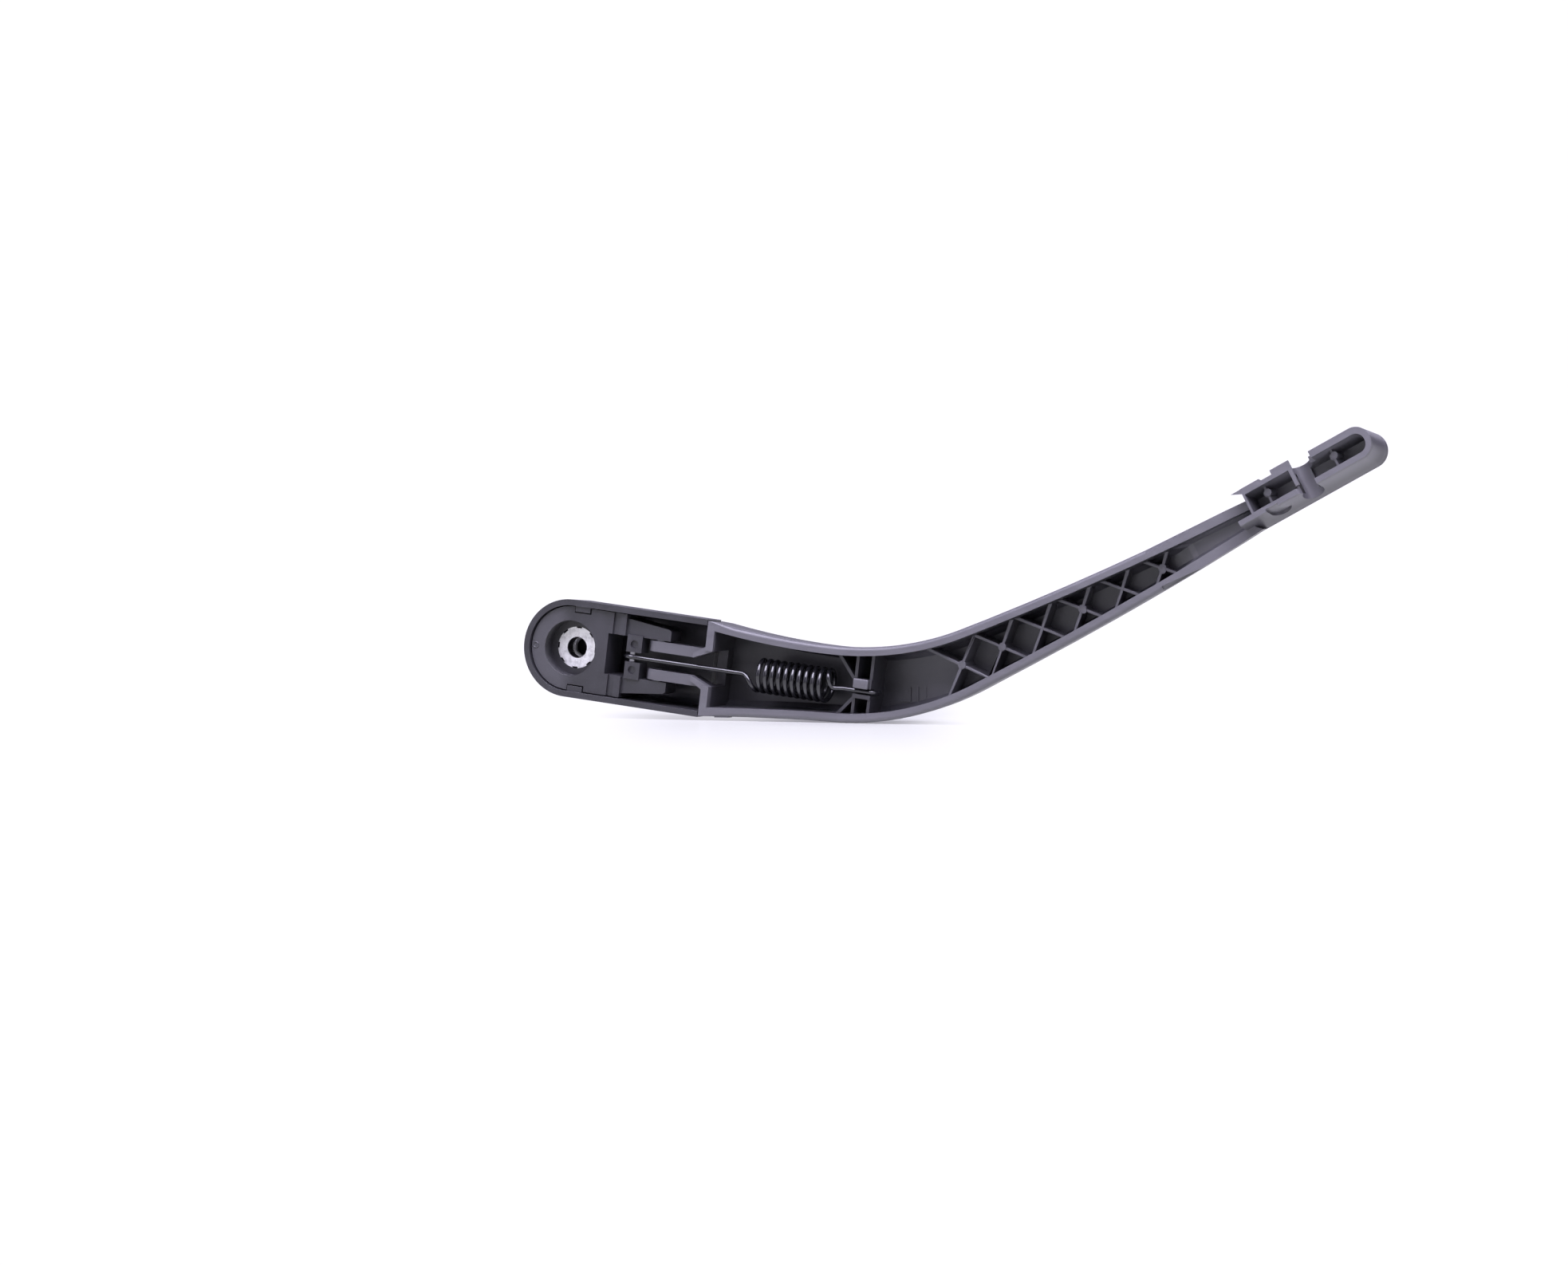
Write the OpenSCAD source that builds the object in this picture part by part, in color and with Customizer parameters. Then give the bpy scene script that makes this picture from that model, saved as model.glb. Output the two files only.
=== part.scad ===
// Rear window wiper arm: a mounting head with a snap-on cover, a hinged arm and its tension spring.
// X runs from the spindle toward the blade, Y from the glass side to the outer face, Z is up
// when the arm stands on its long lower edge. The origin is the spindle axis at the face of the
// hub insert. Inside the modules, depth is measured from the glass side rim.

/* [Mounting head] */
// Tilt of the head below the horizontal when the arm stands on its edge, degrees
head_tilt = 7; // [5:0.5:9]
// Width across the head cover
head_w = 37.4; // [36:0.2:40]
// Depth from the glass side rim to the outer face
head_depth = 23.5; // [22.5:0.5:25]
// Depth of the head plate below the rim
plate_y = 1.5; // [1:0.25:2.5]
// Thickness of the head plate
plate_t = 3; // [2.5:0.25:3.5]
// Length of the head plate past the spindle
plate_x = 22.4; // [22:0.2:23]
// Depth of the head body
body_y = 16; // [15:0.5:17]
// Wall of the head body
body_wall = 2.2; // [1.8:0.1:3]
// Diameter of the round recess round the spindle
recess_d = 21.2; // [20:0.2:22]
// Thickness of the boss wall round the recess
boss_wall = 2.2; // [1.8:0.1:2.6]

/* [Hub insert] */
// Diameter of the insert flange
hub_d = 15.9; // [15:0.1:16.5]
// Depth of the insert face below the rim
hub_y = 8.2; // [7.5:0.1:9]
// Thickness of the insert flange
hub_flange_t = 2.8; // [2.4:0.1:3.2]
// Diameter of the insert shank
hub_shank_d = 13; // [12.4:0.1:13.6]
// Depth of the outer end of the insert
hub_end_y = 15.6; // [15:0.1:16.2]
// Diameter of the straight spindle bore
spindle_d = 8.2; // [7.6:0.1:8.6]
// Depth of the straight spindle bore
spindle_l = 5; // [4:0.25:5.5]
// Length of the taper between the spindle bore and the stud hole
taper_l = 1.4; // [1:0.1:1.8]
// Diameter of the stud hole at the outer end
stud_d = 6.4; // [6:0.1:7]
// Number of notches round the flange
hub_notches = 8; // [6:1:10]

/* [Cover] */
// Wall of the cover
cover_wall = 2.3; // [2:0.1:2.5]
// Corner radius of the outer face
cover_round = 7; // [5.5:0.5:8]
// Lean of the cover's walls toward the outer face
cover_draft = 0.9; // [0.4:0.1:1.2]
// Gap between the cover and the head
cover_gap = 0.4; // [0.3:0.05:0.6]
// Length of a snap tab
tab_l = 6.2; // [5:0.2:7]
// Reach of a snap tab inward
tab_reach = 2.2; // [1.8:0.1:2.5]
// Distance from the spindle to the middle of a snap tab
tab_x = 3.9; // [3:0.1:5]

/* [Hinge] */
// Distance from the spindle to the hinge pins
hinge_x = 35.5; // [35:0.25:36]
// Depth of the hinge pins
hinge_y = 6.5; // [6:0.25:7]
// Diameter of a hinge pin
hinge_d = 4; // [3.4:0.1:4.4]
// Running clearance round a hinge pin
pin_clear = 0.05; // [0.03:0.01:0.08]
// Width of the gap between the ears
ear_gap = 6.8; // [6.4:0.1:7.2]
// Thickness of an ear
ear_t = 4; // [3.6:0.1:4.2]
// Radius of an ear round the hinge pin
ear_r = 4.2; // [4:0.1:4.5]
// Side clearance between an ear and its cheek
ear_clear = 0.5; // [0.4:0.05:0.7]
// Thickness of a cheek at the head
cheek_t = 6.6; // [6:0.1:6.8]
// Thickness of a cheek at its free end
cheek_end_t = 4.4; // [4:0.1:5.5]
// Free end of the cheeks past the hinge pins
cheek_past = 5.3; // [5:0.1:6]
// Distance from the spindle to the seam at the glass side
seam_x = 56.3; // [56:0.1:57]
// Gap of the seam between cover and arm
seam_gap = 0.4; // [0.3:0.05:0.6]
// Thickness of the shoulder wall behind the seam
shoulder_t = 3; // [2.6:0.1:3.4]

/* [Spring] */
// Diameter of the spring wire
wire_d = 1.8; // [1.6:0.05:2.1]
// Outer diameter of the coil
coil_d = 13.6; // [12.6:0.1:13.8]
// Whole turns of the coil
coil_turns = 11; // [9:1:11]
// Start of the coil from the spindle
coil_x = 76.6; // [76:0.2:78]
// Length of the coil between wire centres
coil_l = 29.7; // [28:0.1:30]
// Depth of the coil axis
coil_y = 7.3; // [7.2:0.1:8]
// Distance from the spindle to the spring anchor pin
anchor_x = 25; // [24.8:0.1:25.4]
// Depth of the spring anchor pin
anchor_y = 4.9; // [4.8:0.1:5.2]
// Diameter of the spring anchor pin
anchor_d = 2.6; // [2.4:0.1:2.8]
// Depth of the wire where it hooks into the arm
hook_y = 4.2; // [4:0.1:4.5]
// Distance from the spindle to the face that the far hook pulls on
hook_x = 124.6; // [124:0.2:126]

/* [Arm] */
// Length of the root, from the seam to the bend
root_l = 53; // [50:0.5:56]
// Turn along the root, degrees
root_turn = 3.2; // [2:0.2:4.4]
// Length of the bend
bend_l = 55; // [50:0.5:60]
// Turn of the bend, degrees
bend_turn = 27.2; // [24:0.2:30]
// Length of the reach, from the bend to the blade carrier
reach_l = 117; // [113:0.5:122]
// Turn along the reach, degrees
reach_turn = 4.8; // [3:0.2:6]
// Arm width at the seam
w_seam = 36.6; // [36:0.2:37.4]
// Arm width at the end of the root
w_root = 29; // [28:0.2:31]
// Arm width at the end of the bend
w_bend = 24.6; // [23:0.2:26]
// Arm width at the blade carrier
w_reach = 13.6; // [13:0.2:14.4]
// Arm depth at the end of the bend
depth_bend = 16; // [14.5:0.5:17]
// Arm depth at the blade carrier
depth_reach = 10.5; // [10:0.25:11.5]
// Side wall of the arm
arm_wall = 3.4; // [3:0.1:3.6]
// Thickness of the outer face of the arm
arm_back = 2.4; // [2:0.1:3]

/* [Arm ribs] */
// Number of rib crossings
rib_n = 6; // [4:1:6]
// Distance between two crossings
rib_pitch = 17.6; // [17:0.1:18]
// Distance from the seam to the first crossing
rib_s = 104; // [102:0.5:106]
// Thickness of a rib
rib_t = 1.2; // [1:0.1:1.5]
// Depth of the ribs' edge below the rim
rib_y = 5; // [4:0.25:6]
// Angle of the ribs to the arm, degrees
rib_angle = 45; // [40:1:50]
// Radius of the bosses on the crossings
rib_boss_r = 1.7; // [1.4:0.1:2]

/* [Blade carrier] */
// Length of the carrier
carrier_l = 64.4; // [63:0.2:66]
// Height of the carrier rim above the arm rim
carrier_rise = 5; // [4:0.25:6]
// Width of the carrier at its rim
carrier_w = 12; // [11.6:0.1:12.6]
// Sideways offset of the carrier rim from the arm's middle
carrier_shift = 4.3; // [3.8:0.1:4.6]
// Distance from the end of the reach to the blade pin
blade_pin_s = 34.2; // [33.8:0.1:34.8]
// Diameter of the blade pin seat
blade_pin_d = 8.4; // [8:0.1:8.8]
// Depth of the blade pin seat below the arm rim
blade_pin_y = -0.2; // [-0.6:0.1:0.4]
// Distance from the blade pin to the tip of the beak that holds it
beak = 2.7; // [2.4:0.1:3]
// Wall of the carrier
carrier_wall = 2.4; // [2.2:0.1:2.6]

/* [Hidden] */
$fn = 48;
eps = 0.01;
plastic = [0.10, 0.10, 0.115];
head_r = head_w / 2;
plan_r = head_r - cover_wall - cover_gap;
recess_r = recess_d / 2;
seam_r = norm([seam_x - hinge_x, hinge_y]);
ear_in = ear_gap / 2;
ear_out = ear_in + ear_t;
cheek_in = ear_out + ear_clear;
wire_r = wire_d / 2;
coil_r = (coil_d - wire_d) / 2;
coil_step = 20;
coil_a0 = 60;
coil_a1 = 360 * coil_turns - 60;
hook_turn_r = anchor_d / 2 + wire_r + 0.15;
arm_s0 = seam_x + 1.2;
total_s = root_l + bend_l + reach_l;
lug_x = 23.2;
lug_l = 6.3;
lug_y = 2.2;
lug_depth = 7;
lug_gap = wire_d + 2;
slot_x = 15.4;
shallow_y = 4.2;
bracket_y = 3;
block_x = 10.8;
wall_x = 4.7;
fin_x = 6.7;
pocket_y = 5.5;
carrier_rim = -carrier_rise;
carrier_low = carrier_shift - carrier_w / 2;
carrier_high = carrier_shift + carrier_w / 2;
carrier_back_y = 6.5;
carrier_back_w = w_reach - 0.6;
carrier_back_shift = 0.8;
pin_end = cheek_in + cheek_end_t - 1;
anchor_end = cheek_in - 1.5;

// One arc of the arm's middle line: start, length and turn give the place at a distance u
function arc_at(p, l, t, u) =
    let (r = l / (t * PI / 180), a = p[2] + t * u / l)
    [p[0] + r * (sin(a) - sin(p[2])), p[1] - r * (cos(a) - cos(p[2])), a];
start = [arm_s0, 0, 0];
after_root = arc_at(start, root_l, root_turn, root_l);
after_bend = arc_at(after_root, bend_l, bend_turn, bend_l);
after_reach = arc_at(after_bend, reach_l, reach_turn, reach_l);
// Place and heading of the middle line at a distance s from the seam
function line_at(s) =
    s < 0 ? [start[0] + s, 0, 0]
    : s < root_l ? arc_at(start, root_l, root_turn, s)
    : s < root_l + bend_l ? arc_at(after_root, bend_l, bend_turn, s - root_l)
    : s < total_s ? arc_at(after_bend, reach_l, reach_turn, s - root_l - bend_l)
    : [after_reach[0] + (s - total_s) * cos(after_reach[2]),
       after_reach[1] + (s - total_s) * sin(after_reach[2]), after_reach[2]];
// Smooth curve through the sizes named at the four places along the arm
function ease(a, b, t) = a + (b - a) * t;
function width_at(s) =
    s < 0 ? w_seam
    : s < root_l ? w_root + (w_seam - w_root) * pow(1 - s / root_l, 1.7)
    : s < root_l + bend_l ? w_root + (w_bend - w_root) * pow((s - root_l) / bend_l, 1.6)
    : s < total_s ? ease(w_bend, w_reach, pow((s - root_l - bend_l) / reach_l, 0.95))
    : w_reach - (s - total_s) * 0.13;
function depth_at(s) =
    s < 0 ? head_depth
    : s < root_l + bend_l ? ease(head_depth, depth_bend, s / (root_l + bend_l))
    : s < total_s ? ease(depth_bend, depth_reach, (s - root_l - bend_l) / reach_l)
    : depth_reach;

// Distances of the loft's sections from the seam, closer together in the bend
s_list = concat([for (i = [0 : 7]) -14 + i * 8],
                [for (i = [1 : 18]) root_l - 11 + i * (bend_l + 16) / 18],
                [for (i = [1 : 13]) root_l + bend_l + 5 + i * (reach_l - 5) / 13], [total_s + 12]);

// Outline of the arm across its middle line: side walls, rounded corners and a crowned outer face
function outer_ring(s) =
    let (h = width_at(s) / 2, d = depth_at(s), r = min(6, h * 0.55, d * 0.45), k = h * 0.03 + 0.3)
    concat([[-h, 0], [-h + k * 0.5, (d - r) * 0.5]],
           [for (i = [0 : 6]) let (a = 180 + i * 13)
               [-h + k + r + r * cos(a), d - r - 0.8 - r * sin(a)]],
           [[0, d]],
           [for (i = [6 : -1 : 0]) let (a = -i * 13)
               [h - k - r + r * cos(a), d - r - 0.8 - r * sin(a)]],
           [[h - k * 0.5, (d - r) * 0.5], [h, 0]]);
// Floor of the channel: it rises toward the blade carrier past the last rib crossing
function floor_at(s) =
    let (rise_s = rib_s + (rib_n - 1) * rib_pitch, deep = depth_at(s) - arm_back)
    s < rise_s + 4 ? deep
    : s < rise_s + 12 ? ease(deep, shallow_y, (s - rise_s - 4) / 8)
    : shallow_y;
function inner_ring(s, grow) =
    let (h = width_at(s) / 2 - arm_wall + grow, f = floor_at(s) + grow, c = min(2, f * 0.3))
    [[-h, -1], [-h + 0.3, f - c], [-h + 0.3 + c, f], [h - 0.3 - c, f], [h - 0.3, f - c], [h, -1]];
// Place a ring of the loft at its distance along the middle line
function placed(ring, s) =
    let (p = line_at(s))
    [for (q = ring) [p[0] - q[0] * sin(p[2]), q[1], p[1] + q[0] * cos(p[2])]];
module loft(rings) {
    n = len(rings[0]);
    m = len(rings);
    points = [for (r = rings) each r];
    sides = [for (i = [0 : m - 2]) for (j = [0 : n - 1])
        let (a = i * n + j, b = i * n + (j + 1) % n)
        each [[a, b + n, b], [a, a + n, b + n]]];
    caps = [[for (j = [0 : n - 1]) j], [for (j = [n - 1 : -1 : 0]) (m - 1) * n + j]];
    polyhedron(points = points, faces = concat(sides, caps), convexity = 6);
}
// A tube of round wire along a list of points
module wire(points, r, sides) {
    n = len(points);
    function unit(v) = v / norm(v);
    tangents = [for (i = [0 : n - 1]) unit(points[min(i + 1, n - 1)] - points[max(i - 1, 0)])];
    rings = [for (i = [0 : n - 1])
        let (t = tangents[i],
             u = unit(cross(t, abs(t[2]) < 0.94 ? [0, 0, 1] : [1, 0, 0])),
             v = cross(t, u))
        [for (j = [0 : sides - 1])
            points[i] + r * (u * cos(360 * j / sides) + v * sin(360 * j / sides))]];
    loft(rings);
}

// Everything is drawn along the head's own axis, then tilted to stand as the arm stands and
// moved so that the face of the hub insert is at depth 0
module stand() {
    translate([0, -hub_y, 0])
        rotate([0, head_tilt, 0])
            children();
}
// Extrude an outline drawn in the plane of the arm, from depth y0 to depth y1
module slab(y0, y1) {
    translate([0, y1, 0])
        rotate([90, 0, 0])
            linear_extrude(y1 - y0)
                children();
}
module bore(x, y, r, z0, z1) {
    translate([x, y, z0])
        cylinder(h = z1 - z0, r = r);
}
module head_plan(r, x1) {
    circle(r);
    translate([0, -r])
        square([x1, 2 * r]);
}
module both_sides() {
    children();
    mirror([0, 0, 1])
        children();
}

// Half of the cover's section: a wall that leans in toward the outer face, and one rounded corner
module cover_half(r, depth, corner, draft) {
    top = r - draft;
    polygon([[0, 0], [r, 0], [top, depth - corner], [top - corner, depth], [0, depth]]);
    translate([top - corner, depth - corner])
        circle(corner);
}
module cover_solid(r, depth, corner, x1, draft) {
    rotate([-90, 0, 0])
        rotate_extrude()
            intersection() {
                cover_half(r, depth, corner, draft);
                square([r + 1, depth]);
            }
    rotate([90, 0, 90])
        linear_extrude(x1)
            union() {
                intersection() {
                    rotate(-90)
                        mirror([1, 0])
                            cover_half(r, depth, corner, draft);
                    square([depth, r + 1]);
                }
                mirror([0, 1])
                    intersection() {
                        rotate(-90)
                            mirror([1, 0])
                                cover_half(r, depth, corner, draft);
                        square([depth, r + 1]);
                    }
            }
}
module past_seam(r) {
    difference() {
        translate([hinge_x, -2, -head_r - 2])
            cube([60, head_depth + 4, head_w + 4]);
        bore(hinge_x, hinge_y, r, -head_r - 3, head_r + 3);
    }
}
module cover_cap() {
    color(plastic)
        stand() {
            difference() {
                cover_solid(head_r, head_depth, cover_round, seam_x + 2, cover_draft);
                translate([0, -cover_wall, 0])
                    cover_solid(head_r - cover_wall, head_depth, cover_round - cover_wall, seam_x + 4, 0);
                past_seam(seam_r);
            }
            both_sides()
                translate([tab_x - tab_l / 2, plate_y - 0.5, plan_r + cover_gap - tab_reach])
                    cube([tab_l, 3, tab_reach + 1]);
        }
}

module head() {
    pocket_r = plan_r - body_wall;
    boss_r = recess_r + boss_wall;
    shank_r = hub_shank_d / 2;
    color(plastic)
        stand()
            difference() {
                union() {
                    slab(plate_y, plate_y + plate_t)
                        head_plan(plan_r, plate_x);
                    slab(plate_y + plate_t - eps, body_y)
                        difference() {
                            head_plan(plan_r, plate_x);
                            difference() {
                                head_plan(pocket_r, slot_x - body_wall);
                                circle(boss_r);
                            }
                        }
                    slab(plate_y + plate_t, hub_end_y - 0.6)
                        circle(boss_r);
                    both_sides()
                        cheek();
                    both_sides()
                        translate([lug_x, lug_y, lug_gap / 2])
                            cube([lug_l, lug_depth, cheek_in - lug_gap / 2 + 0.5]);
                }
                slab(plate_y - 1, hub_y)
                    circle(recess_r);
                slab(hub_y - 1, hub_y + hub_flange_t)
                    circle(hub_d / 2 + 0.05);
                slab(hub_y, hub_end_y + 1)
                    circle(shank_r);
                slab(plate_y - 1, body_y + 1)
                    translate([slot_x, -cheek_in + 0.1])
                        square([lug_x - slot_x, 2 * cheek_in - 0.2]);
                both_sides()
                    plate_cuts();
                bore(hinge_x, hinge_y, hinge_d / 2, -pin_end, pin_end);
                bore(anchor_x, anchor_y, anchor_d / 2, -anchor_end, anchor_end);
            }
}
// Notch for a snap tab, the groove across the plate and the dimple in a lug's face
module plate_cuts() {
    notch_l = tab_l + 2 * cover_gap;
    groove_x = plate_x - 5.4;
    translate([tab_x - notch_l / 2, plate_y - 1, plan_r - tab_reach])
        cube([notch_l, body_y, tab_reach + 1]);
    // Under the plate the notch opens toward the round end, the way the cover comes off
    translate([-plan_r, plate_y + plate_t, plan_r - tab_reach])
        cube([plan_r + tab_x, body_y, tab_reach + 1]);
    translate([groove_x, plate_y - 1, cheek_in - 1])
        cube([2.6, 2, plan_r]);
    translate([lug_x + lug_l / 2, lug_y - 1, (cheek_in + lug_gap / 2) / 2])
        rotate([-90, 0, 0])
            cylinder(h = 2, r = 1.6, $fn = 24);
}
module cheek() {
    end_x = hinge_x + cheek_past;
    slab(3, 13)
        polygon([[plate_x - 1, cheek_in], [end_x, cheek_in], [end_x, cheek_in + cheek_end_t - 0.8],
                 [end_x - 0.8, cheek_in + cheek_end_t], [plate_x - 1, cheek_in + cheek_t]]);
}

module hub_insert() {
    flange_r = hub_d / 2;
    taper_y = hub_y + spindle_l + taper_l;
    color([0.78, 0.79, 0.80])
        stand()
            difference() {
                union() {
                    slab(hub_y, hub_y + hub_flange_t)
                        circle(flange_r);
                    slab(hub_y + eps, hub_end_y)
                        circle(hub_shank_d / 2);
                }
                for (i = [0 : hub_notches - 1])
                    rotate([0, i * 360 / hub_notches, 0])
                        translate([flange_r - 0.55, hub_y - 1, -1.1])
                            cube([2, hub_flange_t + 1, 2.2]);
                slab(hub_y - 1, hub_y + spindle_l)
                    circle(spindle_d / 2);
                translate([0, hub_y + spindle_l - eps, 0])
                    rotate([-90, 0, 0])
                        cylinder(h = taper_l + 2 * eps, r1 = spindle_d / 2, r2 = stud_d / 2);
                slab(taper_y - eps, hub_end_y + 1)
                    circle(stud_d / 2);
            }
}

module hinge_pins() {
    color([0.62, 0.63, 0.65])
        stand()
            both_sides()
                bore(hinge_x, hinge_y, hinge_d / 2 - 0.001, ear_in + 0.2, pin_end - 0.2);
}
module spring_pin() {
    color([0.62, 0.63, 0.65])
        stand()
            bore(anchor_x, anchor_y, anchor_d / 2 - 0.001, 0.2 - anchor_end, anchor_end - 0.2);
}

// Points of a bend between two ends, each with its own direction
function bend_points(p0, d0, p3, d3, n) =
    [for (i = [1 : n - 1]) let (t = i / n, u = 1 - t)
        u * u * u * p0 + 3 * u * u * t * (p0 + d0) + 3 * u * t * t * (p3 - d3) + t * t * t * p3];
function coil_point(a) =
    [coil_x + (a - coil_a0) / (coil_a1 - coil_a0) * coil_l, coil_y - coil_r * cos(a), -coil_r * sin(a)];
// Pull of the wire where it enters or leaves the coil
function coil_pull(a) = [1.2, coil_r * sin(a) * 0.7, -coil_r * cos(a) * 0.7];
module tension_spring() {
    leg_y = anchor_y - hook_turn_r;
    leg_end = [coil_x - 5.5, leg_y + 0.8, 0];
    far_start = [coil_x + coil_l + 3, hook_y, -0.4];
    far_x = hook_x + wire_r + 0.3;
    bend_r = 2;
    hook = [for (a = [-20 : 20 : 170])
        [anchor_x - hook_turn_r * sin(a), anchor_y - hook_turn_r * cos(a), 0]];
    near_hook = [for (i = [len(hook) - 1 : -1 : 1]) hook[i]];
    leg = [for (i = [0 : 5]) let (t = i / 5)
        [anchor_x + 1.5, leg_y, 0] * (1 - t) + leg_end * t];
    turns = [for (a = [coil_a0 : coil_step : coil_a1]) coil_point(a)];
    far = [far_start, for (x = [far_start[0] + 4 : 3 : far_x - bend_r - 1]) [x, hook_y, 0]];
    far_bend = [for (a = [0 : 22.5 : 90])
        [far_x - bend_r + bend_r * sin(a), hook_y + bend_r - bend_r * cos(a), 0]];
    far_tail = [[far_x, hook_y + bend_r + 1.6, 0], [far_x, hook_y + bend_r + 3.2, 0]];
    color([0.05, 0.05, 0.055])
        stand()
            wire(concat(near_hook, leg,
                        bend_points(leg_end, [3, 0, 0], turns[0], coil_pull(coil_a0), 5), turns,
                        bend_points(turns[len(turns) - 1], coil_pull(coil_a1), far_start, [2, 0, 0], 5),
                        far, far_bend, far_tail),
                 wire_r, 8);
}

// One ear of the arm with its oblique root at the shoulder
module ear() {
    root_x = seam_x + seam_gap + shoulder_t;
    intersection() {
        slab(hinge_y - ear_r, hinge_y + ear_r)
            polygon([[hinge_x - ear_r, ear_in], [seam_x - 4.5, ear_in], [root_x, ear_out - 0.6],
                     [root_x, ear_out], [hinge_x - ear_r, ear_out]]);
        union() {
            bore(hinge_x, hinge_y, ear_r, 0, head_r);
            translate([0, 0, head_r])
                rotate([180, 0, 0])
                    linear_extrude(head_r)
                        polygon([[hinge_x, ear_r - hinge_y], [root_x, ear_r - hinge_y],
                                 [root_x, -hinge_y - 1.2], [seam_x - 3, -hinge_y - 1.2],
                                 [hinge_x, -hinge_y - ear_r]]);
        }
    }
}
// Oblique gusset between an ear and the shoulder wall
module gusset() {
    root_x = seam_x + seam_gap + shoulder_t;
    slab(0.5, hinge_y + 2)
        polygon([[seam_x - 4.6, ear_in + 0.05], [root_x - 0.3, ear_out - 0.7], [root_x - 0.3, ear_out + 1.2],
                 [seam_x + seam_gap + 0.5, ear_out + 1.2], [seam_x - 4.6, ear_in + 2]]);
}
// Bracket in the channel that the far hook of the spring pulls on
module bracket() {
    block_l = 7.2;
    x0 = hook_x - block_l;
    module rib(p, angle, l) {
        translate(p)
            rotate(angle)
                translate([0, -rib_t / 2])
                    square([l, rib_t]);
    }
    slab(bracket_y, head_depth)
        polygon([[x0, -2.8], [hook_x, -2.8], [hook_x, 4.6], [x0 + 1.2, 4.6], [x0, 3.4]]);
    slab(bracket_y + 1, head_depth + 1) {
        rib([x0 + 2, 1.5], 130, 20);
        rib([x0 + 2, -0.5], 230, 20);
        for (x = [x0 - 0.3, hook_x - rib_t - 0.1])
            translate([x, -20])
                square([rib_t, 40]);
    }
}
// Two ribs cross at each place along the arm, with a round boss on most crossings
module cross_ribs() {
    slab(rib_y, rib_y + depth_bend)
        for (i = [0 : rib_n - 1]) {
            p = line_at(rib_s + i * rib_pitch);
            reach = rib_pitch * 0.97;
            translate([p[0], p[1]])
                rotate(p[2]) {
                    for (side = [-1, 1])
                        rotate(side * rib_angle)
                            translate([-reach, -rib_t / 2])
                                square([2 * reach, rib_t]);
                    if (i != 2 && i != 4)
                        circle(rib_boss_r, $fn = 20);
                }
        }
}
module arm_outer() {
    loft([for (s = s_list) placed(outer_ring(s), s)]);
}
// The channel inside the arm; grown a little, it trims the ribs inside the walls they join
module arm_cavity(grow) {
    first = shoulder_t + seam_gap - 1.2 - grow;
    loft([for (s = concat([first], [for (t = s_list) if (t > first + 2) t])) placed(inner_ring(s, grow), s)]);
}
// Outline of the carrier in its own plane: straight sides and a round end
module carrier_plan(x0, x1, w, shift) {
    translate([x0, shift - w / 2])
        square([x1 - w / 2 - x0, w]);
    translate([x1 - w / 2, shift])
        circle(w / 2);
}
module at_carrier() {
    translate([after_reach[0], 0, after_reach[1]])
        rotate([0, -after_reach[2], 0])
            children();
}
// The carrier leans from its rim to its back; an inset gives the shape inside its walls
module carrier_hull(x0, inset) {
    top = inset > 0 ? carrier_rim - 1 : carrier_rim;
    band = 0.4;
    hull() {
        slab(top, top + band)
            carrier_plan(x0, carrier_l - inset, carrier_w - 2 * inset, carrier_shift);
        slab(carrier_back_y, carrier_back_y + band)
            carrier_plan(x0, carrier_l + 1 - inset, carrier_back_w - 2 * inset, carrier_back_shift);
        slab(depth_reach - band, depth_reach)
            carrier_plan(x0, carrier_l - 1.4 - inset, carrier_back_w - 5 - inset, carrier_back_shift);
    }
}
// Pocket between two places along the carrier, down to its floor
module carrier_pocket(x0, x1) {
    intersection() {
        carrier_hull(x0, carrier_wall);
        slab(carrier_rim - 2, pocket_y)
            translate([x0, -20])
                square([x1 - x0, 40]);
    }
}
module carrier() {
    difference() {
        union() {
            carrier_hull(block_x, 0);
            // Fin over the arm's rim and the tab on the upper wall
            slab(carrier_rim + 0.15, carrier_rim + 2.5)
                polygon([[fin_x, carrier_high - 0.1], [block_x + 0.8, carrier_high - 2.3],
                         [block_x + 0.8, carrier_high - 0.1]]);
            translate([24.3, carrier_rim + 0.1, carrier_high - 1])
                cube([8.6, 6, 1.8]);
        }
        carrier_pocket(block_x + 0.9, 30.7);
        carrier_pocket(blade_pin_s + 2, carrier_l);
        // Step in the upper wall between the fin and the tab
        translate([19, carrier_rim - 1, carrier_high - 0.9])
            cube([5.3, 5, 3]);
        blade_seat();
        hook_notch();
    }
    // Thin ribs with a round boss across both pockets
    intersection() {
        carrier_hull(0, carrier_wall / 2);
        slab(carrier_rim + 3, pocket_y + 1)
            for (x = [18.8, 47.8]) {
                translate([x - 0.45, -8])
                    square([0.9, 20]);
                translate([x, carrier_shift + 0.2])
                    circle(1.5, $fn = 24);
            }
    }
    // Lower wall that reaches back along the arm's channel
    difference() {
        intersection() {
            carrier_hull(wall_x, 0);
            slab(carrier_rim - 1, depth_reach + 1)
                translate([wall_x - 1, -10])
                    square([block_x + 1.4 - wall_x, 12.6]);
        }
        intersection() {
            carrier_hull(0, carrier_wall - 0.2);
            slab(carrier_rim - 2, shallow_y + 0.3)
                translate([0, -carrier_w])
                    square([carrier_l, 2 * carrier_w]);
        }
    }
}
// Seat of the blade pin: open to the glass side, with a straight side and a beak
module blade_seat() {
    r = blade_pin_d / 2;
    tip_y = blade_pin_y - sqrt(r * r - beak * beak);
    translate([0, 0, -20])
        linear_extrude(20 + carrier_low + 2.9)
            polygon([[blade_pin_s - beak - 1.4, carrier_rim - 1], [blade_pin_s - beak - 1.4, carrier_rim],
                     [blade_pin_s - beak, tip_y + 0.2], [blade_pin_s, blade_pin_y],
                     [blade_pin_s + r - 0.1, blade_pin_y], [blade_pin_s + r - 0.1, carrier_rim - 1]]);
    translate([32.2, carrier_rim - 1, carrier_low + 2.2])
        cube([8.5, 0.8 - carrier_rim + blade_pin_y, 20]);
}
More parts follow.
